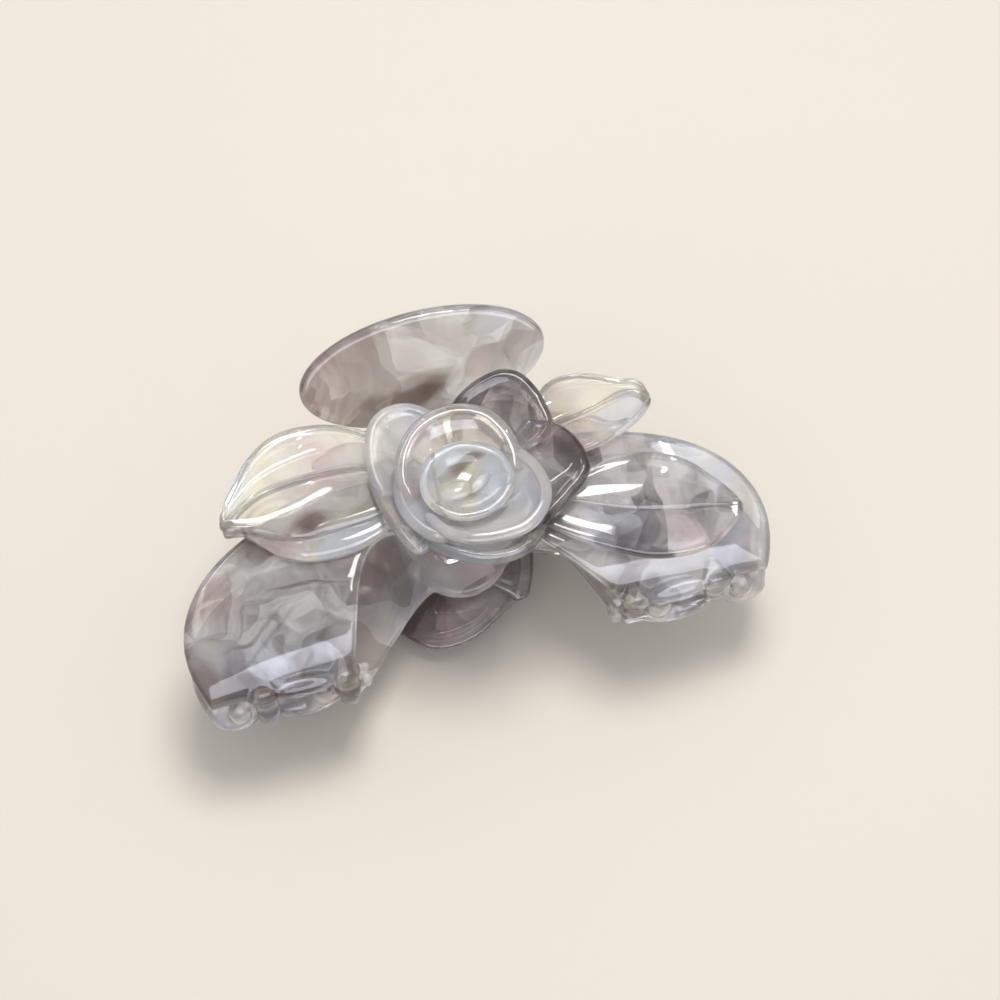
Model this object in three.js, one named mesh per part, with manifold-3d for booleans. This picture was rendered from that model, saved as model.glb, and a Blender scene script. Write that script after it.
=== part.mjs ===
// A large claw clip with a rose and three leaves on each of its two jaws.
// Units are millimetres. In the half frame the hinge axis is the X axis, +Y points to the thumb tabs, -Y to the
// teeth, and the jaw lies on the +Z side of the parting plane z = 0. The front half stands in that frame, and the
// rear half is the same half turned 180 degrees about Y, with its teeth between the front jaw's teeth.

import * as THREE from 'three';
import { mergeVertices } from 'three/addons/utils/BufferGeometryUtils.js';
import Module from 'manifold-3d';

const wasm = await Module();
wasm.setup();

// ---- Driving dimensions ----

const CLEARANCE = 0.3;

// Outer face of a jaw's wings: a shallow dome, steep towards the teeth and the wing ends.
const SHELL = {
  rise: 15, halfWidth: 65, midY: -9, halfLength: 29.4, thickness: 2.6,
  acrossPower: 2.6, acrossRoot: 0.45, alongPower: 3.5,
};

// Plan outline of a wing, as the control points of its edges, waist first, with X measured outwards from the
// middle. The left wing leaves the waist sooner, so it is narrower than the right one.
const LEFT_INNER_EDGE = [[6, -17.5], [20, -8], [21, -22], [26, -36.8]];
const RIGHT_INNER_EDGE = [[6, -17.5], [12, -20], [17, -27.5], [25.4, -36.6]];
const WING_OUTER_EDGE = [[6, -4], [39, 0], [64.5, -14], [53.2, -36.3]];

const ROSE = { x: 2, y: -11, petalThickness: 1.8 };
const WAIST_DISC = { radius: 9.5, bottomZ: 11.6, topZ: 15 };
const TAB = { halfWidth: 22.6, halfHeight: 10.2, thickness: 3, bevel: 0.8, y: 13.5, z: 20.4, flare: Math.PI / 4 };
const NECK_HALF_WIDTH = 10;

const PIN = { radius: 1.2, headRadius: 2.2, headThickness: 1, boreRadius: 1.5 };
const KNUCKLE = { radius: 3.6, width: 3, halfWidth: 3.2, rootLowZ: 11.2, rootHighZ: 12 };
const FRONT_KNUCKLE_X = 9.7;
const REAR_KNUCKLE_X = 6.1;

const SPRING = {
  wireRadius: 0.45, coilRadius: 2.9, halfLength: 2.9, fullTurns: 4, legLength: 9.7, legAngle: Math.PI / 3,
  pointsPerTurn: 10, legMidShare: 0.7, steps: 48,
};

const PEG = { radius: 1.4, boreRadius: 1.8, headRadius: 3.2, headThickness: 1.2, topZ: 24.2 };

// How many facets the round and curved pieces have.
const FACETS = {
  ball: 10, disc: 24, bore: 12, hub: 16, pin: 20, wing: 7,
  petalLength: 9, petalDepth: 4, leafWidth: 4, leafLength: 9,
};

const TOOTH = {
  radius: 2.1, ballRadius: 2.2, rootY: -33, rootZ: 5.6, bendY: -34.7, bendZ: 3.4, tipY: -35.6, tipZ: -1.4,
};
const FRONT_TEETH = [{ x: 27.6, scale: 1 }, { x: 43, scale: 1 }];
const REAR_TEETH = [{ x: 24, scale: 0.5 }, { x: 32.4, scale: 1 }, { x: 48.2, scale: 1 }];

// Fleshy lobes of the wing's edge round the roots of the teeth.
const LOBE = { y: -34.9, z: 5.2, halfDepth: 2.5, halfHeight: 2.7 };
const FRONT_LOBES = [{ x: 27.8, halfWidth: 3 }, { x: 43.2, halfWidth: 3.2 }];
const REAR_LOBES = [{ x: 33.5, halfWidth: 3.4 }, { x: 48.9, halfWidth: 4.6 }];

// The thickened edge between two teeth.
const WEB = { x: 35.5, y: -35.2, z: 5.7, halfWidth: 6.6, halfDepth: 2.4, halfHeight: 2 };

const LEAF = { thickness: 2, rootZ: 17, fallX: 3.6 / 50 ** 2, fallY: 2.4 / 22 ** 2, crown: 0.7 };

// ---- Solids ----

// The closed solid inside a geometry, whichever way its faces point.
function solidOf(geometry) {
  const bare = new THREE.BufferGeometry();
  bare.setAttribute('position', geometry.getAttribute('position'));
  bare.setIndex(geometry.index);
  const merged = mergeVertices(bare, 1e-4);
  const corners = merged.index.array;
  const triangles = [];
  for (let i = 0; i < corners.length; i += 3) {
    const [a, b, c] = [corners[i], corners[i + 1], corners[i + 2]];
    if (a !== b && b !== c && c !== a) triangles.push([a, b, c]);
  }
  const build = (faces) => new wasm.Manifold(new wasm.Mesh({
    numProp: 3,
    vertProperties: new Float32Array(merged.attributes.position.array),
    triVerts: new Uint32Array(faces.flat()),
  }));
  const solid = build(triangles);
  return solid.volume() > 0 ? solid : build(triangles.map(([a, b, c]) => [a, c, b]));
}

const joined = (geometries) => geometries.map(solidOf).reduce((whole, piece) => whole.add(piece));

// The largest body of a solid, as a geometry with flat-shaded facets.
function geometryOf(solid) {
  const body = solid.decompose().sort((a, b) => b.volume() - a.volume())[0];
  const mesh = body.getMesh();
  const geometry = new THREE.BufferGeometry();
  geometry.setAttribute('position', new THREE.BufferAttribute(new Float32Array(mesh.vertProperties), 3));
  geometry.setIndex([...mesh.triVerts]);
  const faceted = geometry.toNonIndexed();
  faceted.computeVertexNormals();
  return faceted;
}

// A curved sheet of even thickness. point(u, v) gives its reference surface for u and v from 0 to 1, and the
// sheet reaches from low to high along that surface's normal.
function thickSheet(columns, rows, point, low, high) {
  const STEP = 1e-3;
  const sheet = new THREE.BoxGeometry(1, 1, 1, columns, rows, 1);
  const position = sheet.getAttribute('position');
  for (let i = 0; i < position.count; i++) {
    const layer = position.getZ(i) * 2;
    const u = 0.5 + position.getX(i);
    const v = 0.5 + position.getY(i);
    const alongU = point(u + STEP, v).sub(point(u - STEP, v));
    const alongV = point(u, v + STEP).sub(point(u, v - STEP));
    const normal = alongU.cross(alongV).normalize();
    const height = (low + high) / 2 + layer * (high - low) / 2;
    const place = point(u, v).addScaledVector(normal, height);
    position.setXYZ(i, place.x, place.y, place.z);
  }
  return sheet;
}

// An outline in the YZ plane, extruded along X from -halfDepth to halfDepth about the place x.
function extrudedAlongX(shape, x, halfDepth) {
  const prism = new THREE.ExtrudeGeometry(shape, { depth: 2 * halfDepth, bevelEnabled: false, curveSegments: 6 });
  const turn = new THREE.Matrix4().makeBasis(
    new THREE.Vector3(0, 1, 0),
    new THREE.Vector3(0, 0, 1),
    new THREE.Vector3(1, 0, 0),
  );
  return prism.applyMatrix4(turn).translate(x - halfDepth, 0, 0);
}

// A cylinder along Z.
function upright(radius, bottomZ, topZ, sides, x, y) {
  const cylinder = new THREE.CylinderGeometry(radius, radius, topZ - bottomZ, sides);
  return cylinder.rotateX(Math.PI / 2).translate(x, y, (topZ + bottomZ) / 2);
}

// A point on the plane cubic curve through four control points.
function cubic([a, b, c, d], t) {
  const s = 1 - t;
  const blend = (i) => s ** 3 * a[i] + 3 * s * s * t * b[i] + 3 * s * t * t * c[i] + t ** 3 * d[i];
  return [blend(0), blend(1)];
}

// The Catmull-Rom curve through plane points, for t from 0 to 1 and a little beyond.
function smoothCurve(points) {
  const first = points[0];
  const last = points.at(-1);
  const before = [2 * first[0] - points[1][0], 2 * first[1] - points[1][1]];
  const after = [2 * last[0] - points.at(-2)[0], 2 * last[1] - points.at(-2)[1]];
  const knots = [before, ...points, after];
  return (t) => {
    const position = t * (points.length - 1);
    const index = THREE.MathUtils.clamp(Math.floor(position), 0, points.length - 2);
    const f = position - index;
    const [a, b, c, d] = knots.slice(index, index + 4);
    const blend = (i) => 0.5 * (2 * b[i] + (c[i] - a[i]) * f + (2 * a[i] - 5 * b[i] + 4 * c[i] - d[i]) * f ** 2
      + (3 * b[i] - a[i] - 3 * c[i] + d[i]) * f ** 3);
    return [blend(0), blend(1)];
  };
}

// ---- Jaw ----

// Height of the jaw's outer face above the parting plane.
function shellHeight(x, y) {
  const across = Math.max(0, 1 - Math.abs(x / SHELL.halfWidth) ** SHELL.acrossPower);
  const along = Math.max(0, 1 - Math.abs((y - SHELL.midY) / SHELL.halfLength) ** SHELL.alongPower);
  return SHELL.rise * across ** SHELL.acrossRoot * Math.sqrt(along);
}

function wing(side) {
  const innerEdge = side > 0 ? RIGHT_INNER_EDGE : LEFT_INNER_EDGE;
  const outerFace = (u, v) => {
    const [innerX, innerY] = cubic(innerEdge, v);
    const [outerX, outerY] = cubic(WING_OUTER_EDGE, v);
    const x = innerX + (outerX - innerX) * u;
    const y = innerY + (outerY - innerY) * u;
    return new THREE.Vector3(side * x, y, shellHeight(x, y));
  };
  // Towards the teeth v runs down -Y, so the surface normal points inwards on the right wing.
  return side > 0
    ? thickSheet(FACETS.wing, FACETS.wing, outerFace, 0, SHELL.thickness)
    : thickSheet(FACETS.wing, FACETS.wing, outerFace, -SHELL.thickness, 0);
}

function tooth(x, scale) {
  const path = new THREE.CatmullRomCurve3([
    new THREE.Vector3(x, TOOTH.rootY, TOOTH.rootZ),
    new THREE.Vector3(x, TOOTH.bendY, TOOTH.bendZ),
    new THREE.Vector3(x, TOOTH.tipY, 0),
    new THREE.Vector3(x, TOOTH.tipY, TOOTH.tipZ),
  ]);
  const section = new THREE.Shape().absarc(0, 0, TOOTH.radius * scale, 0, 2 * Math.PI);
  const finger = new THREE.ExtrudeGeometry(section, { extrudePath: path, steps: 3, curveSegments: 4 });
  const ball = new THREE.SphereGeometry(TOOTH.ballRadius * scale, FACETS.ball, FACETS.ball / 2);
  return [finger, ball.translate(x, TOOTH.tipY, TOOTH.tipZ)];
}

// An oval thickening of the shell's edge.
function swelling(x, halfWidth, { y, z, halfDepth, halfHeight }) {
  const oval = new THREE.SphereGeometry(1, FACETS.ball, FACETS.ball / 2);
  return oval.scale(halfWidth, halfDepth, halfHeight).translate(x, y, z);
}

// The flat oval plate that the thumb presses.
function thumbTab() {
  const outline = new THREE.Shape().absellipse(0, 0, TAB.halfWidth, TAB.halfHeight, 0, 2 * Math.PI);
  const plate = new THREE.ExtrudeGeometry(outline, {
    depth: TAB.thickness - 2 * TAB.bevel,
    bevelThickness: TAB.bevel,
    bevelSize: TAB.bevel,
    bevelSegments: 1,
    curveSegments: 12,
  });
  plate.translate(0, 0, TAB.bevel - TAB.thickness);
  return plate.rotateX(TAB.flare).translate(0, TAB.y, TAB.z);
}

// The bridge from the waist disc to the thumb tab, which dips over the hinge.
function neck() {
  const outline = new THREE.Shape()
    .moveTo(-14, 14.6)
    .lineTo(-5, 14.5)
    .quadraticCurveTo(1.5, 12.2, 8.5, 14.6)
    .lineTo(9.8, 13.1)
    .quadraticCurveTo(3, 8.8, -4, 11.4)
    .lineTo(-14, 11.8);
  return extrudedAlongX(outline, 0, NECK_HALF_WIDTH);
}

// One hinge lug, from the neck down to its eye on the hinge axis.
function knuckle(x) {
  const outline = new THREE.Shape()
    .moveTo(-KNUCKLE.halfWidth, KNUCKLE.rootHighZ)
    .lineTo(-KNUCKLE.radius, 0)
    .absarc(0, 0, KNUCKLE.radius, Math.PI, 2 * Math.PI)
    .lineTo(KNUCKLE.halfWidth, KNUCKLE.rootLowZ);
  outline.holes.push(new THREE.Path().absarc(0, 0, PIN.boreRadius, 0, 2 * Math.PI, true));
  return extrudedAlongX(outline, x, KNUCKLE.width / 2);
}

function jaw(teeth, lobes, knuckleX) {
  const disc = upright(WAIST_DISC.radius, WAIST_DISC.bottomZ, WAIST_DISC.topZ, FACETS.disc, 0, ROSE.y);
  const pieces = [disc, neck(), thumbTab()];
  for (const side of [-1, 1]) {
    pieces.push(wing(side), knuckle(side * knuckleX), swelling(side * WEB.x, WEB.halfWidth, WEB));
    for (const { x, scale } of teeth) pieces.push(...tooth(side * x, scale));
    for (const { x, halfWidth } of lobes) pieces.push(swelling(side * x, halfWidth, LOBE));
  }
  const pegBore = upright(PEG.boreRadius, 0, WAIST_DISC.topZ + SHELL.thickness, FACETS.bore, ROSE.x, ROSE.y);
  return geometryOf(joined(pieces).subtract(solidOf(pegBore)));
}

// ---- Rose ----

// Each petal: its outline in plan about the rose's centre and the height of its rim. A whorl's petals share the
// height of their floor, how much lower the two ends of a rim lie, and the sweep of their bowl from floor to rim.
const OUTER_WHORL = {
  floorZ: 19.3, footZ: 15.3, drop: 1.2, sweep: 1.1,
  petals: [
    {
      rimZ: 22.9,
      outline: [[-1.8, 12.9], [-3.8, 15.9], [-7.1, 17.9], [-10.9, 18], [-14, 16.2], [-15.7, 13.3], [-16.7, 9.5],
        [-16.9, 5.6], [-15.9, 1.3]],
    },
    {
      rimZ: 22.9,
      outline: [[0.6, 12], [2.1, 16.3], [4.9, 18.3], [8.3, 19.5], [11.7, 19.8], [14.8, 18.3], [16.8, 15.1],
        [17.9, 11.2], [18, 7.3], [14.4, 3.8]],
    },
    {
      rimZ: 22.6,
      outline: [[13.5, 9.8], [18.2, 7.8], [20.4, 5.5], [22, 2], [22.5, -1.9], [21.1, -4.5], [17.8, -7], [14, -9.5],
        [10.6, -11.8], [6.1, -12]],
    },
    {
      rimZ: 22.2,
      outline: [[12.9, -8.6], [11.1, -12.1], [8.3, -14.7], [4.6, -15.9], [0, -15.4], [-4.3, -13.6], [-7.8, -11.2],
        [-10.9, -8.1], [-12.2, -4.3]],
    },
    {
      rimZ: 21.6,
      outline: [[-13.1, 9.3], [-16.6, 7.6], [-17.1, 4.2], [-16.5, -0.2], [-15, -5.7], [-12.9, -9.9], [-10.9, -9],
        [-11.2, -6]],
    },
  ],
};
const MIDDLE_WHORL = {
  floorZ: 21.4, footZ: 20.5, drop: 1.2, sweep: 1.35,
  petals: [
    {
      rimZ: 26.3,
      outline: [[-11.4, -1.3], [-12.2, 2.5], [-10.8, 7.3], [-7.5, 11.4], [-2.9, 13.5], [2.2, 13.5], [6.6, 11.3],
        [9.1, 7.3], [10, 2.8], [9.6, -0.6]],
    },
    {
      rimZ: 25.8,
      outline: [[8.6, 4.9], [10.7, 2.4], [12.9, -1.2], [13.6, -5.8], [11.9, -9.5], [8.2, -12.1], [2.8, -12.6],
        [-2.6, -11.6], [-6.8, -8.8], [-9.3, -4.9]],
    },
    {
      rimZ: 24.6,
      outline: [[-8.9, 6.7], [-11.6, 4.9], [-13.2, 1.6], [-13.1, -2.6], [-11.4, -6.5], [-8.3, -9.5], [-5.1, -9.8]],
    },
  ],
};
const INNER_WHORL = {
  floorZ: 23.5, footZ: 22.6, drop: 0.2, sweep: 1.3,
  petals: [
    {
      rimZ: 27.3,
      outline: [[7.9, -3], [7.9, -1.6], [6.8, 2.2], [3.7, 4.8], [0, 6.1], [-4, 5.5], [-7.1, 3.2], [-8.4, -0.5],
        [-8.2, -2.4]],
    },
    {
      rimZ: 27.2,
      outline: [[-8.3, 1], [-8.4, -0.5], [-7.6, -4], [-4.4, -7.1], [-0.2, -8.1], [3.7, -7.1], [6.7, -4.8],
        [7.9, -1.6], [7.8, -0.2]],
    },
  ],
};
const WHORL_HUB_RADIUS = 4.5;
const PETAL_ROOT_RADIUS = 2.6;
const PETAL_STEP = 0.07;
const BUD = { halfLength: 2.8, halfWidth: 1.7, halfHeight: 1.1, shiftX: -1.6, shiftY: -1.4, z: 25.9 };

function petal({ outline, rimZ }, { drop, sweep }, floorZ) {
  const curve = smoothCurve(outline);
  const surface = (u, v) => {
    const [rimX, rimY] = curve(u);
    const rimRadius = Math.hypot(rimX, rimY);
    const bowl = v * sweep;
    const reach = Math.sin(bowl) / Math.sin(sweep);
    const share = PETAL_ROOT_RADIUS / rimRadius * (1 - reach) + reach;
    const rise = rimZ - drop * (2 * u - 1) ** 2 - floorZ;
    const height = floorZ + rise * (1 - Math.cos(bowl)) / (1 - Math.cos(sweep));
    return new THREE.Vector3(ROSE.x + rimX * share, ROSE.y + rimY * share, height);
  };
  const half = ROSE.petalThickness / 2;
  return thickSheet(FACETS.petalLength, FACETS.petalDepth, surface, -half, half);
}

function whorl(layer) {
  const hub = upright(WHORL_HUB_RADIUS, layer.footZ, layer.floorZ, FACETS.hub, ROSE.x, ROSE.y);
  const petals = layer.petals.map((shape, i) => petal(shape, layer, layer.floorZ - i * PETAL_STEP));
  const boreTop = PEG.topZ + ROSE.petalThickness;
  const bore = upright(PEG.boreRadius, WAIST_DISC.topZ, boreTop, FACETS.bore, ROSE.x, ROSE.y);
  return geometryOf(joined([hub, ...petals]).subtract(solidOf(bore)));
}

// The furled bud: a small oval in the cup.
function bud() {
  const oval = new THREE.SphereGeometry(1, FACETS.hub, FACETS.hub / 2);
  oval.scale(BUD.halfLength, BUD.halfWidth, BUD.halfHeight);
  return geometryOf(solidOf(oval.translate(ROSE.x + BUD.shiftX, ROSE.y + BUD.shiftY, BUD.z)));
}

// The peg that pins the rose to the jaw: a flat head inside the jaw and a shank through the whorls.
function rosePeg() {
  const headTop = WAIST_DISC.bottomZ - CLEARANCE;
  const headBottom = headTop - PEG.headThickness;
  const profile = [[0, headBottom], [PEG.headRadius, headBottom], [PEG.headRadius, headTop], [PEG.radius, headTop],
    [PEG.radius, PEG.topZ], [0, PEG.topZ]];
  const turned = new THREE.LatheGeometry(profile.map(([r, z]) => new THREE.Vector2(r, z)), FACETS.hub);
  return geometryOf(solidOf(turned.rotateX(Math.PI / 2).translate(ROSE.x, ROSE.y, 0)));
}

// ---- Leaves ----

// Plan of each leaf from root to tip: its upper edge, its midrib and its lower edge.
const LEAVES = {
  broad_leaf: {
    upper: [[-8, -2.3], [-12.3, 4.8], [-16.8, 8.2], [-22.7, 10.3], [-29.5, 10.4], [-35.2, 7.2], [-39.8, 1.9],
      [-42.9, -2.8], [-43.4, -5.2]],
    midrib: [[-8.7, -5.1], [-12.5, -1.8], [-17.1, -0.5], [-22.1, -0.1], [-26.8, 0], [-32.2, -0.3], [-36.6, -1.4],
      [-40.4, -3.4], [-43.2, -5.6]],
    lower: [[-10.2, -10.7], [-14.3, -14.2], [-19.5, -16.1], [-24.7, -16.4], [-29.8, -15.6], [-33.8, -13.5],
      [-36.8, -10.4], [-39.5, -7.6], [-42.8, -5.9]],
  },
  short_leaf: {
    upper: [[18.2, 1.9], [20.8, 6], [24, 7.5], [28.2, 7.3], [32.1, 5.8], [35.3, 4.1], [37.8, 3.6], [39.1, 2],
      [39.4, -0.5]],
    midrib: [[14.2, -2.6], [20.1, -1.9], [25.7, -1], [28.9, -0.3], [31.6, 0.5], [33.9, 1.2], [35.9, 1.4],
      [37.8, 0.7], [39.3, -0.8]],
    lower: [[14.1, -6.1], [21.4, -8.8], [25.7, -8.4], [29.3, -7.5], [32.4, -6.5], [35.2, -5.3], [37.3, -3.9],
      [38.8, -2.4], [39.3, -1.1]],
  },
  long_leaf: {
    upper: [[14.4, -13.4], [22, -12.8], [27.6, -11.2], [32.1, -10.7], [37.6, -11.4], [42.6, -14.1], [46.4, -18],
      [49.2, -21.8], [50.8, -24.6]],
    midrib: [[12.3, -14.6], [20, -17.2], [25.5, -19.5], [30, -21.3], [34.8, -22.5], [39.4, -23.2], [43.5, -23.5],
      [47.2, -24], [50.7, -25]],
    lower: [[10.2, -16.8], [16.1, -22.2], [20.3, -25.2], [25.3, -28], [30.9, -30.6], [36.5, -31.6], [41.7, -31.3],
      [46.4, -29.2], [50.4, -25.4]],
  },
};

function leaf({ upper, midrib, lower }) {
  const [upperEdge, middle, lowerEdge] = [upper, midrib, lower].map(smoothCurve);
  const surface = (u, v) => {
    const across = 1 - 2 * u;
    const [middleX, middleY] = middle(v);
    const [edgeX, edgeY] = across > 0 ? upperEdge(v) : lowerEdge(v);
    const x = middleX + (edgeX - middleX) * Math.abs(across);
    const y = middleY + (edgeY - middleY) * Math.abs(across);
    const crown = LEAF.crown * Math.sin(Math.PI * Math.abs(across));
    const z = LEAF.rootZ - LEAF.fallX * x * x - LEAF.fallY * (y - ROSE.y) ** 2 + crown;
    return new THREE.Vector3(x, y, z);
  };
  const blade = thickSheet(FACETS.leafWidth, FACETS.leafLength, surface, -LEAF.thickness / 2, LEAF.thickness / 2);
  return geometryOf(solidOf(blade));
}

// ---- Hinge pin and torsion spring ----

function hingePin() {
  const shankHalf = FRONT_KNUCKLE_X + KNUCKLE.width / 2 + CLEARANCE;
  const end = shankHalf + PIN.headThickness;
  const profile = [[0, -end], [PIN.headRadius, -end], [PIN.headRadius, -shankHalf], [PIN.radius, -shankHalf],
    [PIN.radius, shankHalf], [PIN.headRadius, shankHalf], [PIN.headRadius, end], [0, end]];
  const turned = new THREE.LatheGeometry(profile.map(([r, x]) => new THREE.Vector2(r, x)), FACETS.pin);
  return geometryOf(solidOf(turned.rotateZ(-Math.PI / 2)));
}

// A coil round the pin with one straight leg under each neck. Both legs leave the coil at a tangent.
function torsionSpring() {
  const { coilRadius, halfLength, fullTurns, legLength, legAngle, pointsPerTurn, legMidShare, steps } = SPRING;
  const firstAngle = 1.5 * Math.PI - legAngle;
  const sweep = 2 * Math.PI * fullTurns + firstAngle - (Math.PI / 2 + legAngle);
  const onCoil = (t) => {
    const angle = firstAngle - sweep * t;
    return new THREE.Vector3(halfLength * (2 * t - 1), coilRadius * Math.cos(angle), coilRadius * Math.sin(angle));
  };
  const legEnd = (from, zSign) => new THREE.Vector3(
    from.x, from.y + legLength * Math.cos(legAngle), from.z + zSign * legLength * Math.sin(legAngle));
  const points = [];
  const coilPoints = pointsPerTurn * fullTurns;
  for (let i = 0; i <= coilPoints; i++) points.push(onCoil(i / coilPoints));
  points.unshift(legEnd(points[0], -1), legEnd(points[0], -1).lerp(points[0], legMidShare));
  const last = points.at(-1);
  points.push(legEnd(last, 1).lerp(last, legMidShare), legEnd(last, 1));
  const section = new THREE.Shape().absarc(0, 0, SPRING.wireRadius, 0, 2 * Math.PI);
  const path = new THREE.CatmullRomCurve3(points, false, 'centripetal');
  const wire = new THREE.ExtrudeGeometry(section, { extrudePath: path, steps, curveSegments: 3 });
  return geometryOf(solidOf(wire));
}

// ---- Materials ----

const resin = (colour, opacity) => new THREE.MeshStandardMaterial({
  color: colour, roughness: 0.12, metalness: 0, transparent: true, opacity,
});
const FRONT_LOOK = { jaw: resin(0xcfc9cc, 0.85), petals: resin(0xd9d5d8, 0.85), leaf: resin(0xdcd8d6, 0.85) };
const REAR_LOOK = { jaw: resin(0xb9b1b6, 0.85), petals: resin(0x8f858d, 0.85), leaf: resin(0xc9c4c8, 0.85) };
const STEEL = new THREE.MeshStandardMaterial({ color: 0xb8babd, roughness: 0.3, metalness: 1 });

// ---- Assembly ----

function namedMesh(name, geometry, material) {
  const mesh = new THREE.Mesh(geometry, material);
  mesh.name = name;
  return mesh;
}

function half(prefix, teeth, lobes, knuckleX, look) {
  const group = new THREE.Group();
  group.add(
    namedMesh(`${prefix}_jaw`, jaw(teeth, lobes, knuckleX), look.jaw),
    namedMesh(`${prefix}_outer_petals`, whorl(OUTER_WHORL), look.petals),
    namedMesh(`${prefix}_middle_petals`, whorl(MIDDLE_WHORL), look.petals),
    namedMesh(`${prefix}_inner_petals`, whorl(INNER_WHORL), look.petals),
    namedMesh(`${prefix}_bud`, bud(), look.petals),
    namedMesh(`${prefix}_rose_peg`, rosePeg(), look.petals),
  );
  for (const [name, plan] of Object.entries(LEAVES)) {
    group.add(namedMesh(`${prefix}_${name}`, leaf(plan), look.leaf));
  }
  return group;
}

const clip = new THREE.Group();
const frontHalf = half('front', FRONT_TEETH, FRONT_LOBES, FRONT_KNUCKLE_X, FRONT_LOOK);
const rearHalf = half('rear', REAR_TEETH, REAR_LOBES, REAR_KNUCKLE_X, REAR_LOOK);
rearHalf.rotation.y = Math.PI;
clip.add(frontHalf, rearHalf);
clip.add(namedMesh('hinge_pin', hingePin(), STEEL), namedMesh('torsion_spring', torsionSpring(), STEEL));

// The clip lies on its rear half: the origin is under its middle, on the surface that it lies on.
const flowerHairClip = new THREE.Group();
flowerHairClip.add(clip);
const box = new THREE.Box3().setFromObject(clip, true);
const middle = box.getCenter(new THREE.Vector3());
clip.position.set(-middle.x, -middle.y, -box.min.z);

export default flowerHairClip;
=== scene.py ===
"""Looks of a large claw hair clip: two jaws of marbled, translucent pearl resin with roses and leaves.

Shapes are made in the half frame: millimetres, the hinge axis along X through the origin, +Y to the thumb
tabs and the jaw on the +Z side. The front half stands in that frame, and the rear half is turned by 180
degrees about Y. Functions take which half they make as "front" or "rear".
"""

import math

import bpy
import bmesh
import numpy as np
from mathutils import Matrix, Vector


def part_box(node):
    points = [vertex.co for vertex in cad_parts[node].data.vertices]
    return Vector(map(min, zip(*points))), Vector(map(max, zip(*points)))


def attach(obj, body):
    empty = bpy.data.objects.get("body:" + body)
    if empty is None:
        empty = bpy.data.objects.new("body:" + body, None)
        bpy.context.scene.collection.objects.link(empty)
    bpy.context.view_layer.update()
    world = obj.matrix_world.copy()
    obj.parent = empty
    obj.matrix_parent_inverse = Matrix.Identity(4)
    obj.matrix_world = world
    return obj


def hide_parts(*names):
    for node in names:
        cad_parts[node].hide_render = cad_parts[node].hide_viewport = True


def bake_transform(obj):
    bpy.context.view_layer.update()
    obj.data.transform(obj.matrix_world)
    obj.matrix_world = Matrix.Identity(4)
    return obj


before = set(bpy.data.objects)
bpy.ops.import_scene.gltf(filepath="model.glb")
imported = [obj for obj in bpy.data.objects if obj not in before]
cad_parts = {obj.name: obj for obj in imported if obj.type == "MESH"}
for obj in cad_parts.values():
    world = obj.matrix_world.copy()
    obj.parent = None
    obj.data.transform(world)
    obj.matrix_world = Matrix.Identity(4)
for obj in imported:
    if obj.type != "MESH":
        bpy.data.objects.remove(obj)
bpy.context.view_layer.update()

MM = 0.001
PIN_LOW, PIN_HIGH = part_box("hinge_pin")
HINGE = (np.array(PIN_LOW) + np.array(PIN_HIGH)) / 2
BODIES = {"front": "front_half", "rear": "rear_half"}

# ---- Dimensions of the half frame, in millimetres ----

SHELL_RISE, SHELL_HALF_WIDTH, SHELL_MID_Y, SHELL_HALF_LENGTH = 15.0, 65.0, -9.0, 29.4
SHELL_ACROSS_POWER, SHELL_ACROSS_ROOT, SHELL_ALONG_POWER = 2.6, 0.45, 3.5
SHELL_THICKNESS = 2.6
# Control points of the wings' edges in plan. The inner edge differs on the two sides, -1 and 1.
WING_INNER_EDGE = {-1: ((6, -17.5), (20, -8), (21, -22), (26, -36.8)),
                   1: ((6, -17.5), (12, -20), (17, -27.5), (25.4, -36.6))}
WING_OUTER_EDGE = ((6, -4), (39, 0), (64.5, -14), (53.2, -36.3))
# A tooth's line from its root in the shell to its tip. Each point has Y, Z, how far it moves out along -Y
# and -Z for each millimetre of the tooth's reach, and the tooth's radius.
TOOTH_LINE = ((-31.4, 6.2, 0.0, 0.0, 1.2), (-33.2, 5.4, 0.0, 0.0, 2.0), (-34.7, 3.4, 0.4, 0.0, 2.3),
              (-35.5, 1.5, 0.8, 0.3, 2.3), (-35.7, -0.2, 1.0, 0.7, 2.2), (-35.6, -1.4, 1.0, 1.0, 2.15))
TOOTH_BALL_RADIUS = 2.2
# Each half's teeth, as X and scale, and the lobes round their roots, as X and half width, on one side. The
# reach is how much farther the teeth of each side stand out.
JAWS = {
    "front": {"teeth": ((27.6, 1.0), (43.0, 1.0)), "lobes": ((27.8, 3.0), (43.2, 3.2)),
              "reach": {-1: 1.1, 1: -0.8}, "knuckle_x": 9.7},
    "rear": {"teeth": ((24.0, 0.5), (32.4, 1.0), (48.2, 1.0)), "lobes": ((33.5, 3.4), (48.9, 4.6)),
             "reach": {-1: 0.0, 1: 0.0}, "knuckle_x": 6.1},
}
# Swellings of the shell's edge: the Y and Z of the centre, and the half depth and half height.
LOBE_CENTRE, LOBE_SIZE = (-34.9, 5.2), (2.5, 2.7)
WEB_CENTRE, WEB_SIZE, WEB_X, WEB_HALF_WIDTH = (-35.2, 5.7), (2.4, 2.0), 35.5, 6.6
DISC_RADIUS, DISC_LOW, DISC_HIGH, DISC_FILLET = 9.5, 11.6, 15.0, 0.9
TAB_Y, TAB_Z, TAB_HALF_WIDTH, TAB_HALF_HEIGHT = 13.5, 20.4, 23.4, 11.0
TAB_THICKNESS, TAB_FILLET, TAB_FLARE = 3.0, 1.2, math.radians(45)
NECK_TOP, NECK_UNDERSIDE = ((-5, 14.5), (1.5, 12.2), (8.5, 14.4)), ((9.8, 12.8), (3, 8.8), (-4, 11.4))
NECK_ROOT, NECK_HALF_WIDTH = ((-14, 11.8), (-14, 14.6)), 10
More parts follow.
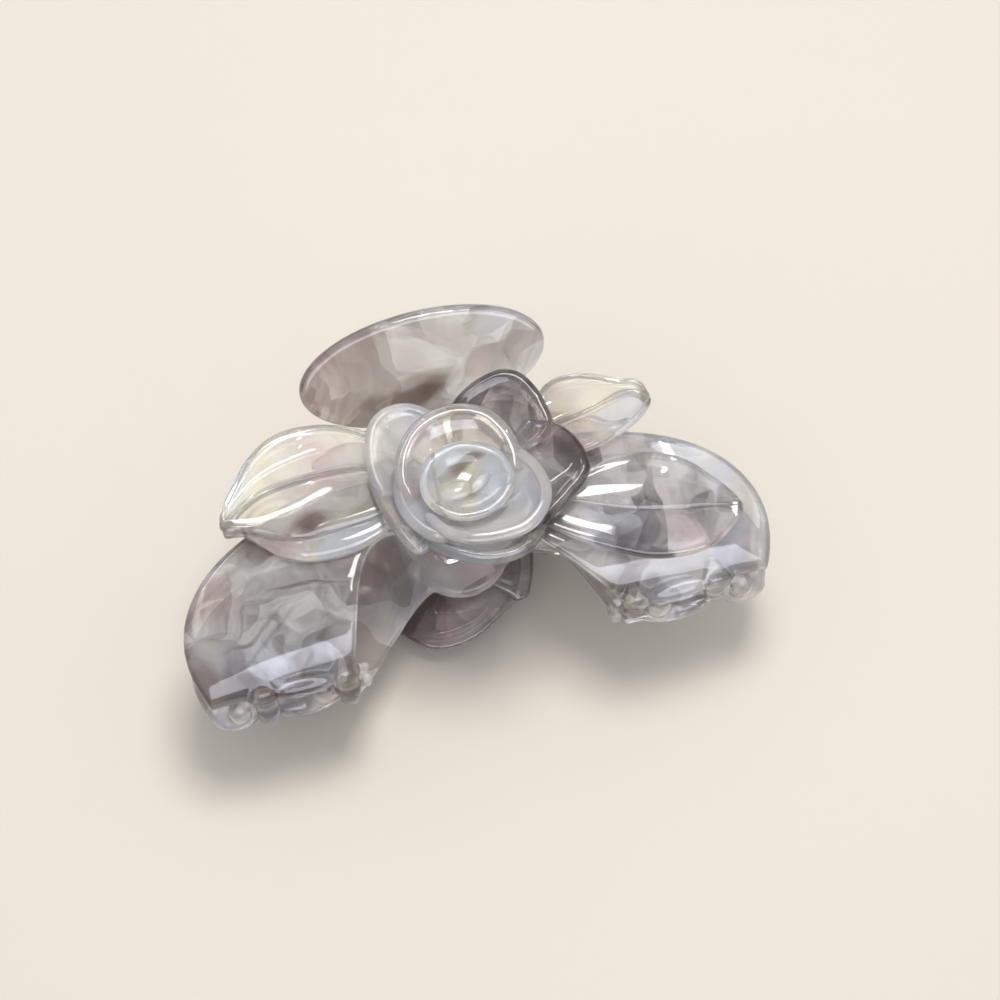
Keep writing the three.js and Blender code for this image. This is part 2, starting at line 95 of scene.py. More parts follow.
KNUCKLE_RADIUS, KNUCKLE_HALF_WIDTH, KNUCKLE_ROOT = 3.6, 1.5, ((-3.2, 12.4), (3.2, 11.4))
PIN_HOLE_X, PIN_HOLE_RADIUS, PEG_HOLE_Z, PEG_HOLE_RADIUS = (-14, 0, 14), 1.5, (5, 12, 20), 1.8
JAW_VOXEL, JAW_SMOOTHING = 0.34, 14

ROSE_X, ROSE_Y = 2.0, -11.0
PETAL_THICKNESS, LEAF_THICKNESS, RIM_BEAD, BEAD_SPREAD = 1.8, 2.0, 0.3, 1.2
# The leaves lie at this height under the rose's centre, and fall away by so much at these distances.
LEAF_LEVEL, LEAF_FALL_X, LEAF_SPAN_X, LEAF_FALL_Y, LEAF_SPAN_Y = 17.0, 3.6, 50, 2.4, 22
# The crown of a leaf above and below its midrib: where it is highest and how high, as shares of the width.
LEAF_SUMMITS, LEAF_RISES = (0.4, 0.8), (0.06, 0.07)
GROOVE_DEPTH, GROOVE_WIDTH = 0.28, 0.05
CREST_RISE, CREST_FALL, CREST_WIDTH = 0.35, 0.9, 0.07

SPRING_RADIUS, SPRING_WIRE_RADIUS, SPRING_HALF_LENGTH, SPRING_TURNS = 2.9, 0.45, 2.9, 4
SPRING_LEG, SPRING_LEG_ANGLE, SPRING_TURN_STEPS, SPRING_LEG_STEPS = 9.7, math.radians(60), 44, 12


# ---- Mesh helpers ----

RIM_STEPS = 5


def to_row(points, which):
    """Half-frame millimetres to row-frame metres."""
    turned = points * np.array([-1, 1, -1]) if which == "rear" else points
    return turned * MM + HINGE


def link_mesh(name, mesh):
    mesh.shade_smooth()
    piece = bpy.data.objects.new(name, mesh)
    bpy.context.scene.collection.objects.link(piece)
    return piece


def new_object(name, vertices, faces):
    mesh = bpy.data.meshes.new(name)
    mesh.from_pydata([tuple(v) for v in vertices], [], faces)
    mesh.validate()
    return link_mesh(name, mesh)


def closed_object(name, vertices, faces):
    """An object with its doubled vertices joined and its faces turned outwards."""
    piece = new_object(name, vertices, faces)
    work = bmesh.new()
    work.from_mesh(piece.data)
    bmesh.ops.remove_doubles(work, verts=work.verts, dist=1e-4)
    bmesh.ops.recalc_face_normals(work, faces=work.faces)
    work.to_mesh(piece.data)
    work.free()
    return piece


def rounded_steps(count, rim):
    """Parameters from 0 to 1 that crowd at both ends, where a rim of this share of the width rounds off."""
    turn = np.linspace(0, math.pi / 2, RIM_STEPS + 1)
    start = rim * (1 - np.cos(turn))
    inner = np.linspace(rim, 1 - rim, count + 1)[1:-1]
    return np.concatenate([start, inner, 1 - start[::-1]])


def surface_normal(surface, u, v, step=1e-3):
    along_u = surface(u + step, v) - surface(u - step, v)
    along_v = surface(u, v + step) - surface(u, v - step)
    normal = np.cross(along_u, along_v)
    return normal / np.maximum(np.linalg.norm(normal, axis=2, keepdims=True), 1e-9)


def rim_rounding(rims_in):
    """Share of the full thickness at a place that lies this many rim radii inside the edge."""
    return np.sqrt(np.clip(1 - (1 - np.clip(rims_in, 0, 1)) ** 2, 0, 1))


def thick_sheet(name, surface, columns, rows, thickness, rim_u, rim_v, low=-0.5, bead=0.0):
    """A closed sheet with round rims.

    surface(u, v) takes arrays from 0 to 1. The sheet reaches from low to low + 1 times the thickness along
    the surface normal. rim_u and rim_v are the rim radius as a share of the sheet's size, and bead is how
    much thicker the rim is.
    """
    u, v = np.meshgrid(rounded_steps(columns, rim_u), rounded_steps(rows, rim_v), indexing="ij")
    middle, normal = surface(u, v), surface_normal(surface, u, v)
    rims_in = np.minimum(np.minimum(u, 1 - u) / rim_u, np.minimum(v, 1 - v) / rim_v)
    half = 0.5 * rim_rounding(rims_in) * (1 + bead * np.exp(-((rims_in - 1) / BEAD_SPREAD) ** 2))
    centre = (low + 0.5) * thickness
    top = middle + normal * (centre + half * thickness)[..., None]
    bottom = middle + normal * (centre - half * thickness)[..., None]
    wide, tall = u.shape
    faces = []
    for i in range(wide - 1):
        for j in range(tall - 1):
            upper = (i * tall + j, (i + 1) * tall + j, (i + 1) * tall + j + 1, i * tall + j + 1)
            faces.append(upper)
            faces.append(tuple(k + wide * tall for k in reversed(upper)))
    return closed_object(name, np.concatenate([top.reshape(-1, 3), bottom.reshape(-1, 3)]), faces)


def thick_bowl(name, surface, columns, rows, thickness, rim_v):
    """A closed bowl: surface(turn, v) goes all round for turn, and from the centre to the rim for v."""
    turns = np.linspace(0, 1, columns, endpoint=False)
    vs = 1 - rounded_steps(rows, rim_v)[::-1]
    # The centre has no rim, so even steps take the place of the crowded ones.
    even = RIM_STEPS + 1
    vs = np.concatenate([np.linspace(0.02, vs[even], even, endpoint=False), vs[even:]])
    u, v = np.meshgrid(turns, vs, indexing="ij")
    middle, normal = surface(u, v), surface_normal(surface, u, v)
    offset = normal * (0.5 * thickness * rim_rounding((1 - v) / rim_v))[..., None]
    sheets = [(middle + offset).reshape(-1, 3), (middle - offset).reshape(-1, 3)]
    wide, tall = u.shape
    centres = [sheet[::tall].mean(axis=0) for sheet in sheets]
    faces = []
    for i in range(wide):
        for sheet in range(2):
            here = sheet * wide * tall + i * tall
            there = sheet * wide * tall + (i + 1) % wide * tall
            faces += [(here + j, there + j, there + j + 1, here + j + 1) for j in range(tall - 1)]
            faces.append((here, there, 2 * wide * tall + sheet))
    return closed_object(name, [*np.concatenate(sheets), *centres], faces)


def spline(points, t):
    """Catmull-Rom curve through the points for t from 0 to 1, run straight on beyond both ends."""
    knots = np.array(points, float)
    knots = np.vstack([2 * knots[0] - knots[1], knots, 2 * knots[-1] - knots[-2]])
    position = np.asarray(t, float) * (len(points) - 1)
    index = np.clip(np.floor(position).astype(int), 0, len(points) - 2)
    f = (position - index)[..., None]
    a, b, c, d = (knots[index + k] for k in range(4))
    square, cube = 2 * a - 5 * b + 4 * c - d, 3 * b - a - 3 * c + d
    return 0.5 * (2 * b + (c - a) * f + square * f ** 2 + cube * f ** 3)


def bezier(points, t):
    """The curve that these control points draw, for t from 0 to 1."""
    last = len(points) - 1
    t = np.asarray(t, float)[..., None]
    weights = [math.comb(last, k) * (1 - t) ** (last - k) * t ** k for k in range(last + 1)]
    return sum(weight * np.array(point, float) for weight, point in zip(weights, points))


def ellipse(half_x, half_y, count=96):
    turn = np.linspace(0, 2 * math.pi, count, endpoint=False)
    return np.column_stack([half_x * np.cos(turn), half_y * np.sin(turn)])


def ring_walls(rings, sides):
    """Faces between rings that follow one another, each with this many vertices."""
    walls = []
    for i in range(rings - 1):
        for j in range(sides):
            k = (j + 1) % sides
            walls.append((i * sides + j, i * sides + k, (i + 1) * sides + k, (i + 1) * sides + j))
    return walls


def profile_prism(name, outline, x_low, x_high):
    """A YZ outline extruded along X."""
    count = len(outline)
    vertices = [(x, y, z) for x in (x_low, x_high) for y, z in outline]
    ends = [tuple(range(count)), tuple(range(2 * count - 1, count - 1, -1))]
    return closed_object(name, vertices, ends + ring_walls(2, count))


def round_plate(name, outline, bottom, top, fillet, centre=(0, 0), steps=5):
    """A plate along Z over an XY outline that goes round the centre, with round edges above and below."""
    outline = np.array(outline, float)
    inward = -outline / np.linalg.norm(outline, axis=1, keepdims=True)

    def ring(turn, level, direction):
        inset, drop = fillet * (1 - math.sin(turn)), fillet * (1 - math.cos(turn))
        return np.column_stack([outline + inward * inset, np.full(len(outline), level + direction * drop)])

    turns = [math.pi / 2 * i / steps for i in range(steps + 1)]
    rings = [ring(turn, bottom, 1) for turn in turns] + [ring(turn, top, -1) for turn in reversed(turns)]
    count = len(outline)
    vertices = np.concatenate(rings) + np.array([*centre, 0])
    ends = [tuple(range(count - 1, -1, -1)), tuple(range(len(vertices) - count, len(vertices)))]
    return closed_object(name, vertices, ends + ring_walls(len(rings), count))


def tube(name, path, radii, sides=20, dome=0.3):
    """A closed round tube through the path's points, with a radius at each, and domed ends."""
    path, radii = np.array(path, float), np.array(radii, float)
    tangent = np.gradient(path, axis=0)
    tangent /= np.linalg.norm(tangent, axis=1, keepdims=True)
    side = np.cross(tangent[0], [0.3, 0.2, 0.9])
    turn = np.linspace(0, 2 * math.pi, sides, endpoint=False)[:, None]
    rings = []
    for point, direction, radius in zip(path, tangent, radii):
        side = side - direction * (side @ direction)
        side /= np.linalg.norm(side)
        other = np.cross(direction, side)
        rings.append(point + radius * (np.cos(turn) * side + np.sin(turn) * other))
    ends = [path[0] - tangent[0] * radii[0] * dome, path[-1] + tangent[-1] * radii[-1] * dome]
    first, last = len(path) * sides, (len(path) - 1) * sides
    faces = ring_walls(len(path), sides)
    for j in range(sides):
        k = (j + 1) % sides
        faces.append((k, j, first))
        faces.append((last + j, last + k, first + 1))
    return closed_object(name, [*np.concatenate(rings), *ends], faces)


def ball(name, centre, radii, segments=32):
    work = bmesh.new()
    bmesh.ops.create_uvsphere(work, u_segments=segments, v_segments=segments // 2, radius=1)
    for vertex in work.verts:
        vertex.co = [c + r * p for c, r, p in zip(centre, radii, vertex.co)]
    mesh = bpy.data.meshes.new(name)
    work.to_mesh(mesh)
    work.free()
    return link_mesh(name, mesh)


def apply_modifiers(piece):
    evaluated = piece.evaluated_get(bpy.context.evaluated_depsgraph_get())
    mesh = bpy.data.meshes.new_from_object(evaluated)
    old = piece.data
    piece.modifiers.clear()
    piece.data = mesh
    bpy.data.meshes.remove(old)


def fused(name, parts, voxel, smoothing):
    """One body from overlapping closed parts: joined, remeshed on a voxel grid and smoothed."""
    work = bmesh.new()
    for part in parts:
        work.from_mesh(part.data)
        bpy.data.objects.remove(part)
    mesh = bpy.data.meshes.new(name)
    work.to_mesh(mesh)
    work.free()
    piece = link_mesh(name, mesh)
    remesh = piece.modifiers.new("remesh", "REMESH")
    remesh.mode = "VOXEL"
    remesh.voxel_size = voxel
    remesh.adaptivity = 0
    smooth = piece.modifiers.new("smooth", "SMOOTH")
    smooth.factor = 0.5
    smooth.iterations = smoothing
    apply_modifiers(piece)
    return piece


def cut_away(piece, cutter):
    boolean = piece.modifiers.new("cut", "BOOLEAN")
    boolean.object = cutter
    boolean.operation = "DIFFERENCE"
    boolean.solver = "EXACT"
    apply_modifiers(piece)
    bpy.data.objects.remove(cutter)


def finish_mesh(piece, which, material):
    """Moves a half-frame piece into the row frame and gives it its material."""
    mesh = piece.data
    points = np.empty(len(mesh.vertices) * 3)
    mesh.vertices.foreach_get("co", points)
    mesh.vertices.foreach_set("co", to_row(points.reshape(-1, 3), which).ravel())
    mesh.update()
    mesh.shade_smooth()
    mesh.materials.clear()
    mesh.materials.append(material)


def place(piece, which, node_name, material, body=None):
    finish_mesh(piece, which, material)
    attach(piece, body or BODIES[which])
    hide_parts(node_name)


# ---- Jaw ----

def shell_height(x, y):
    across = np.clip(1 - np.abs(x / SHELL_HALF_WIDTH) ** SHELL_ACROSS_POWER, 0, 1)
    along = np.clip(1 - np.abs((y - SHELL_MID_Y) / SHELL_HALF_LENGTH) ** SHELL_ALONG_POWER, 0, 1)
    return SHELL_RISE * across ** SHELL_ACROSS_ROOT * np.sqrt(along)


def wing(side):
    def outer_face(u, v):
        inner, outer = bezier(WING_INNER_EDGE[side], v), bezier(WING_OUTER_EDGE, v)
        flat = inner + (outer - inner) * u[..., None]
        x, y = flat[..., 0], flat[..., 1]
        return np.stack([side * x, y, shell_height(x, y)], axis=-1)

    return thick_sheet("wing", outer_face, columns=40, rows=44, thickness=SHELL_THICKNESS,
                       rim_u=0.045, rim_v=0.04, low=0 if side > 0 else -1)


def tooth(x, scale, reach):
    """A finger that grows out of the shell's edge and ends in a ball past the parting plane."""
    path = [(x, y - out_y * reach, z - out_z * reach) for y, z, out_y, out_z, _ in TOOTH_LINE]
    radii = [scale * radius for *_, radius in TOOTH_LINE]
    return [tube("tooth", path, radii), ball("tip", path[-1], [TOOTH_BALL_RADIUS * scale] * 3)]


def swelling(x, half_width, centre, size):
    """A fleshy thickening of the shell's edge, round the root of a tooth or between two teeth."""
    return ball("swelling", (x, *centre), (half_width, *size))


def thumb_tab():
    outline = ellipse(TAB_HALF_WIDTH, TAB_HALF_HEIGHT)
    plate = round_plate("tab", outline, -TAB_THICKNESS, 0, TAB_FILLET)
    cos, sin = math.cos(TAB_FLARE), math.sin(TAB_FLARE)
    for vertex in plate.data.vertices:
        x, y, z = vertex.co
        vertex.co = (x, TAB_Y + y * cos - z * sin, TAB_Z + y * sin + z * cos)
    return plate


def neck():
    t = np.linspace(0, 1, 12)
    root_low, root_high = NECK_ROOT
    outline = [root_high, *bezier(NECK_TOP, t).tolist(), *bezier(NECK_UNDERSIDE, t).tolist(), root_low]
    return profile_prism("neck", outline, -NECK_HALF_WIDTH, NECK_HALF_WIDTH)


def knuckle(x):
    turn = np.linspace(math.pi, 2 * math.pi, 24)
    eye = np.column_stack([KNUCKLE_RADIUS * np.cos(turn), KNUCKLE_RADIUS * np.sin(turn)])
    outline = [KNUCKLE_ROOT[0], *eye.tolist(), KNUCKLE_ROOT[1]]
    return profile_prism("knuckle", outline, x - KNUCKLE_HALF_WIDTH, x + KNUCKLE_HALF_WIDTH)


def jaw(which, material):
    shape = JAWS[which]
    disc = round_plate("disc", ellipse(DISC_RADIUS, DISC_RADIUS), DISC_LOW, DISC_HIGH, DISC_FILLET,
                       centre=(0, ROSE_Y))
    parts = [disc, neck(), thumb_tab()]
    for side in (-1, 1):
        parts += [wing(side), knuckle(side * shape["knuckle_x"])]
        parts.append(swelling(side * WEB_X, WEB_HALF_WIDTH, WEB_CENTRE, WEB_SIZE))
        for x, scale in shape["teeth"]:
            parts += tooth(side * x, scale, shape["reach"][side])
        for x, half_width in shape["lobes"]:
            parts.append(swelling(side * x, half_width, LOBE_CENTRE, LOBE_SIZE))
    body = fused(f"{which}_jaw_moulding", parts, JAW_VOXEL, JAW_SMOOTHING)
    cut_away(body, tube("eye", [(x, 0, 0) for x in PIN_HOLE_X], [PIN_HOLE_RADIUS] * 3, sides=32))
    cut_away(body, tube("hole", [(ROSE_X, ROSE_Y, z) for z in PEG_HOLE_Z], [PEG_HOLE_RADIUS] * 3))
    place(body, which, f"{which}_jaw", material)


# ---- Rose ----

OUTER_FLOOR, OUTER_FOOT, MIDDLE_FLOOR, MIDDLE_FOOT, CUP_FLOOR = 19.3, 15.3, 21.4, 20.5, 23.5
# Each petal: its outline in plan about the rose's centre, the height of its rim, how much lower the two
# ends of the rim lie, and the sweep of its bowl from floor to rim.
OUTER_PETALS = {
    "left_petal": (((-1.8, 12.9), (-3.8, 15.9), (-7.1, 17.9), (-10.9, 18.0), (-14.0, 16.2), (-15.7, 13.3),
                    (-16.7, 9.5), (-16.9, 5.6), (-15.9, 1.3)), 22.9, 1.0, 1.15),
    "top_petal": (((0.6, 12.0), (2.1, 16.3), (4.9, 18.3), (8.3, 19.5), (11.7, 19.8), (14.8, 18.3),
                   (16.8, 15.1), (17.9, 11.2), (18.0, 7.3), (14.4, 3.8)), 22.9, 1.6, 1.05),
    "right_petal": (((13.5, 9.8), (18.2, 7.8), (20.4, 5.5), (22.0, 2.0), (22.5, -1.9), (21.1, -4.5),
                     (17.8, -7.0), (14.0, -9.5), (10.6, -11.8), (6.1, -12.0)), 22.6, 1.4, 1.05),
    "bottom_petal": (((12.9, -8.6), (11.1, -12.1), (8.3, -14.7), (4.6, -15.9), (0.0, -15.4), (-4.3, -13.6),
                      (-7.8, -11.2), (-10.9, -8.1), (-12.2, -4.3)), 22.2, 0.6, 1.2),
    "lower_left_petal": (((-13.1, 9.3), (-16.6, 7.6), (-17.1, 4.2), (-16.5, -0.2), (-15.0, -5.7),
                          (-12.9, -9.9), (-10.9, -9.0), (-11.2, -6.0)), 21.6, 0.8, 1.1),
}
MIDDLE_PETALS = {
    "ring_petal": (((-11.4, -1.3), (-12.2, 2.5), (-10.8, 7.3), (-7.5, 11.4), (-2.9, 13.5), (2.2, 13.5),
                    (6.6, 11.3), (9.1, 7.3), (10.0, 2.8), (9.6, -0.6)), 26.3, 1.2, 1.35),
    "crescent_petal": (((8.1, 4.6), (10.7, 2.4), (12.9, -1.2), (13.6, -5.8), (11.9, -9.5), (8.2, -12.1),
                        (2.8, -12.6), (-2.6, -11.6), (-6.8, -8.8), (-9.1, -4.8)), 25.8, 0.8, 1.35),
    "curl_petal": (((-8.4, 6.4), (-11.6, 4.9), (-13.2, 1.6), (-13.1, -2.6), (-11.4, -6.5), (-8.3, -9.5),
                    (-5.1, -9.4)), 24.6, 0.8, 1.2),
}
PETAL_ROOT, HUB_RADIUS, HUB_FILLET, HUB_RISE = 2.6, 4.5, 0.5, 0.9
CUP_RIM = ((8.0, -1.6), (6.9, 2.2), (3.8, 4.9), (0.0, 6.2), (-4.0, 5.6), (-7.2, 3.3), (-8.6, -0.5),
           (-7.8, -4.0), (-4.5, -7.2), (-0.2, -8.2), (3.8, -7.2), (6.8, -4.9), (8.0, -1.6))
CUP_RISE, CUP_SWEEP = 3.6, 1.3
# The two folds of the bud: the place in the cup, the radii and the turn about Z in degrees.
BUD_FOLDS = (((-2.5, -2.0), (3.1, 1.9, 1.2), 6), ((1.9, -1.6), (2.6, 1.1, 1.0), 32))
BUD_LIFT = 1.5


def bowl_wall(v, sweep):
    """How far out and how far up a bowl's wall has come at v, from 0 at its floor to 1 at its rim."""
    return np.sin(v * sweep) / math.sin(sweep), (1 - np.cos(v * sweep)) / (1 - math.cos(sweep))


def on_rose(flat, height):
    """Points from a plan about the rose's centre and heights."""
    return np.stack([ROSE_X + flat[..., 0], ROSE_Y + flat[..., 1], height], axis=-1)


def petal(name, outline, rim_z, drop, sweep, floor_z):
    def surface(u, v):
        rim = spline(outline, u)
        bearing = np.arctan2(rim[..., 1], rim[..., 0])
        root = PETAL_ROOT * np.stack([np.cos(bearing), np.sin(bearing)], axis=-1)
        out, up = bowl_wall(v, sweep)
        rise = rim_z - drop * (2 * u - 1) ** 2 - floor_z
        return on_rose(root + (rim - root) * out[..., None], floor_z + rise * up)

    return thick_sheet(name, surface, columns=64, rows=26, thickness=PETAL_THICKNESS,
                       rim_u=0.035, rim_v=0.075, bead=RIM_BEAD)


def petal_whorl(which, part, petals, floor_z, foot_z, materials):
    for name, (outline, rim_z, drop, sweep) in petals.items():
        piece = petal(f"{which}_{name}", outline, rim_z, drop, sweep, floor_z)
        place(piece, which, f"{which}_{part}", materials[name])
    hub = round_plate(f"{which}_{part}_hub", ellipse(HUB_RADIUS, HUB_RADIUS, 48), foot_z,
                      floor_z + HUB_RISE, HUB_FILLET, centre=(ROSE_X, ROSE_Y))
    place(hub, which, f"{which}_{part}", materials["hub"])


def cup(which, material):
    def surface(turn, v):
        out, up = bowl_wall(v, CUP_SWEEP)
        return on_rose(spline(CUP_RIM, turn % 1) * out[..., None], CUP_FLOOR + CUP_RISE * up)

    piece = thick_bowl(f"{which}_cup", surface, columns=96, rows=26, thickness=PETAL_THICKNESS, rim_v=0.1)
    place(piece, which, f"{which}_inner_petals", material)


def bud(which, material):
    for number, ((x, y), radii, turn) in enumerate(BUD_FOLDS):
        piece = ball(f"{which}_bud_{number}", (0, 0, 0), radii)
        cos, sin = math.cos(math.radians(turn)), math.sin(math.radians(turn))
        for vertex in piece.data.vertices:
            px, py, pz = vertex.co
            vertex.co = (ROSE_X + x + px * cos - py * sin, ROSE_Y + y + px * sin + py * cos,
                         CUP_FLOOR + BUD_LIFT + pz)
        place(piece, which, f"{which}_bud", material)


# ---- Leaves ----

# Each leaf in plan from root to tip: its upper edge, its midrib, its lower edge and the crest of its lower
# lobe, if it has one.
LEAVES = {
    "broad_leaf": (
        ((-8.0, -2.3), (-12.3, 4.8), (-16.8, 8.2), (-22.7, 10.3), (-29.5, 10.4), (-35.2, 7.2),
         (-39.8, 1.9), (-42.9, -2.8), (-43.2, -5.6)),
        ((-8.7, -5.1), (-12.5, -1.8), (-17.1, -0.5), (-22.1, -0.1), (-26.8, 0.0), (-32.2, -0.3),
         (-36.6, -1.4), (-40.4, -3.4), (-43.2, -5.6)),
        ((-10.2, -10.7), (-14.3, -14.2), (-19.5, -16.1), (-24.7, -16.4), (-29.8, -15.6), (-33.8, -13.5),
         (-36.8, -10.4), (-39.5, -7.6), (-43.2, -5.6)),
        ((-9.6, -8.3), (-12.7, -10.2), (-17.8, -10.8), (-22.9, -10.9), (-28.0, -10.9), (-32.3, -9.7),
         (-36.4, -7.9), (-39.8, -6.5), (-43.2, -5.6)),
    ),
    "short_leaf": (
        ((18.2, 1.9), (20.8, 6.0), (24.0, 7.5), (28.2, 7.3), (32.1, 5.8), (35.3, 4.1), (37.8, 3.6),
         (39.1, 2.0), (39.4, -0.8)),
        ((14.2, -2.6), (20.1, -1.9), (25.7, -1.0), (28.9, -0.3), (31.6, 0.5), (33.9, 1.2), (35.9, 1.4),
         (37.8, 0.7), (39.4, -0.8)),
        ((14.1, -6.1), (21.4, -8.8), (25.7, -8.4), (29.3, -7.5), (32.4, -6.5), (35.2, -5.3), (37.3, -3.9),
         (38.8, -2.4), (39.4, -0.8)),
        None,
    ),
    "long_leaf": (
        ((14.4, -13.4), (22.0, -12.8), (27.6, -11.2), (32.1, -10.7), (37.6, -11.4), (42.6, -14.1),
         (46.4, -18.0), (49.2, -21.8), (50.7, -25.0)),
        ((12.3, -14.6), (20.0, -17.2), (25.5, -19.5), (30.0, -21.3), (34.8, -22.5), (39.4, -23.2),
         (43.5, -23.5), (47.2, -24.0), (50.7, -25.0)),
        ((10.2, -16.8), (16.1, -22.2), (20.3, -25.2), (25.3, -28.0), (30.9, -30.6), (36.5, -31.6),
         (41.7, -31.3), (46.4, -29.2), (50.7, -25.0)),
        None,
    ),
}


def leaf(which, name, material):
    upper, midrib, lower, crest = LEAVES[name]

    def surface(u, v):
        across = 1 - 2 * u
        out, above = np.abs(across), across > 0
        middle = spline(midrib, v)
        edge = np.where(above[..., None], spline(upper, v), spline(lower, v))
        width = np.linalg.norm(edge - middle, axis=-1)
        flat = middle + (edge - middle) * out[..., None]
        x, y = flat[..., 0], flat[..., 1]

        summit = np.where(above, *LEAF_SUMMITS)
        inside = np.sin(math.pi / 2 * np.clip(out / summit, 0, 1))
        outside = np.cos(math.pi / 2 * np.clip((out - summit) / (1 - summit), 0, 1))
        lobe = np.where(above, *LEAF_RISES) * width * inside * outside
        groove = GROOVE_DEPTH * np.exp(-(across / GROOVE_WIDTH) ** 2)
        crown = (lobe - groove) * np.sin(math.pi * np.clip(0.06 + 0.9 * v, 0, 1)) ** 0.5
        if crest is not None:
            ridge = np.linalg.norm(spline(crest, v) - middle, axis=-1) / np.maximum(width, 1e-6)
            past = np.clip((out - np.clip(ridge, 0.3, 1)) / CREST_WIDTH, 0, 1)
            fall = past * past * (3 - 2 * past)
            crown = crown + np.where(across < 0, CREST_RISE * (1 - fall) - CREST_FALL * fall, 0)
        fall_x = LEAF_FALL_X * (x / LEAF_SPAN_X) ** 2
        fall_y = LEAF_FALL_Y * ((y - ROSE_Y) / LEAF_SPAN_Y) ** 2
        return np.stack([x, y, LEAF_LEVEL - fall_x - fall_y + crown], axis=-1)

    piece = thick_sheet(f"{which}_{name}_blade", surface, columns=64, rows=60, thickness=LEAF_THICKNESS,
                        rim_u=0.05, rim_v=0.03, bead=RIM_BEAD)
    place(piece, which, f"{which}_{name}", material)


# ---- Hinge hardware ----

def rose_peg(which, material):
    heights = (10.1, 10.4, 11.0, 11.25, 11.3, 23.6, 24.1)
    radii = (2.7, 3.2, 3.2, 2.9, 1.4, 1.4, 1.1)
    piece = tube(f"{which}_rose_rivet", [(ROSE_X, ROSE_Y, z) for z in heights], radii, sides=40)
    place(piece, which, f"{which}_rose_peg", material)


def hinge_pin(material):
    xs = (-12.45, -12.2, -11.6, -11.5, -11.45, 11.45, 11.5, 11.6, 12.2, 12.45)
    radii = (1.6, 2.1, 2.2, 2.1, 1.2, 1.2, 2.1, 2.2, 2.1, 1.6)
    piece = tube("hinge_rivet", [(x, 0, 0) for x in xs], radii, sides=48)
    place(piece, "front", "hinge_pin", material, body=BODIES["rear"])


def torsion_spring(material):
    """Turns of wire round the pin, with a straight leg under each neck, that wind up as the jaws open."""
    first = 1.5 * math.pi - SPRING_LEG_ANGLE
    sweep = 2 * math.pi * SPRING_TURNS + first - (math.pi / 2 + SPRING_LEG_ANGLE)
    t = np.linspace(0, 1, SPRING_TURN_STEPS * SPRING_TURNS)
    angle = first - sweep * t
    coil = np.column_stack([SPRING_HALF_LENGTH * (2 * t - 1), SPRING_RADIUS * np.cos(angle),
                            SPRING_RADIUS * np.sin(angle)])
    along = np.linspace(1, 0, SPRING_LEG_STEPS, endpoint=False)[:, None] * SPRING_LEG
    leg_y, leg_z = math.cos(SPRING_LEG_ANGLE), math.sin(SPRING_LEG_ANGLE)
    rear_leg = coil[0] + along * np.array([0, leg_y, -leg_z])
    front_leg = coil[-1] + along[::-1] * np.array([0, leg_y, leg_z])
    path = np.concatenate([rear_leg, coil, front_leg])
    piece = tube("spring_wire", path, [SPRING_WIRE_RADIUS] * len(path), sides=16)
    finish_mesh(piece, "front", material)
    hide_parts("torsion_spring")
    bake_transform(piece)


# ---- Materials ----

# Faint tints of the resin, in the order in which they follow one another, and the noise level of each.
CLEAR_TINTS = ((1.0, 0.91, 0.90), (1.0, 0.99, 0.97), (1.0, 1.0, 0.98), (0.98, 0.98, 1.0), (0.90, 0.93, 1.0))
PEARL_TINTS = ((1.0, 0.86, 0.88), (1.0, 0.98, 0.97), (1.0, 1.0, 0.97), (1.0, 0.97, 0.84), (0.90, 0.95, 1.0))
TINT_STEPS = (0.36, 0.44, 0.56, 0.60, 0.66)
# Veils in the resin: the scale and shift of the pattern, and the weights of its slopes and of its streaks.
VEILS = ((0.42, 3.7, 0.55, 0.35), (0.95, 9.1, 0.40, 0.35), (1.9, 5.3, 0.30, 0.28))
MARBLING_SCALE = 1000 / 15
WANDER, STREAK_SCALE, DRIFT_WEIGHT, CLOUD_PULL, SPOT_STRENGTH, FRAYING = 1.5, 9.0, 1.5, 0.75, 0.85, 0.018
# Noise levels at which brown patches and creases begin and are full.
PATCH_RANGE, CREASE_RANGE, CREASE_MIDDLE, CREASE_HALF_WIDTH = (0.60, 0.72), (0.50, 0.62), 0.47, 0.006


def new_material(name):
    material = bpy.data.materials.new(name)
    material.use_nodes = True
    tree = material.node_tree
    return material, tree, tree.nodes["Principled BSDF"]


def node(tree, kind, **values):
    made = tree.nodes.new(kind)
    for key, value in values.items():
        setattr(made, key, value)
    return made


def fill_ramp(ramp, steps):
    """Gives a colour ramp its steps, each a position and a colour, from low to high."""
    for position, colour in steps[1:-1]:
        ramp.elements.new(position)
    for element, (position, colour) in zip(ramp.elements, steps):
        element.position, element.color = position, (*colour, 1)


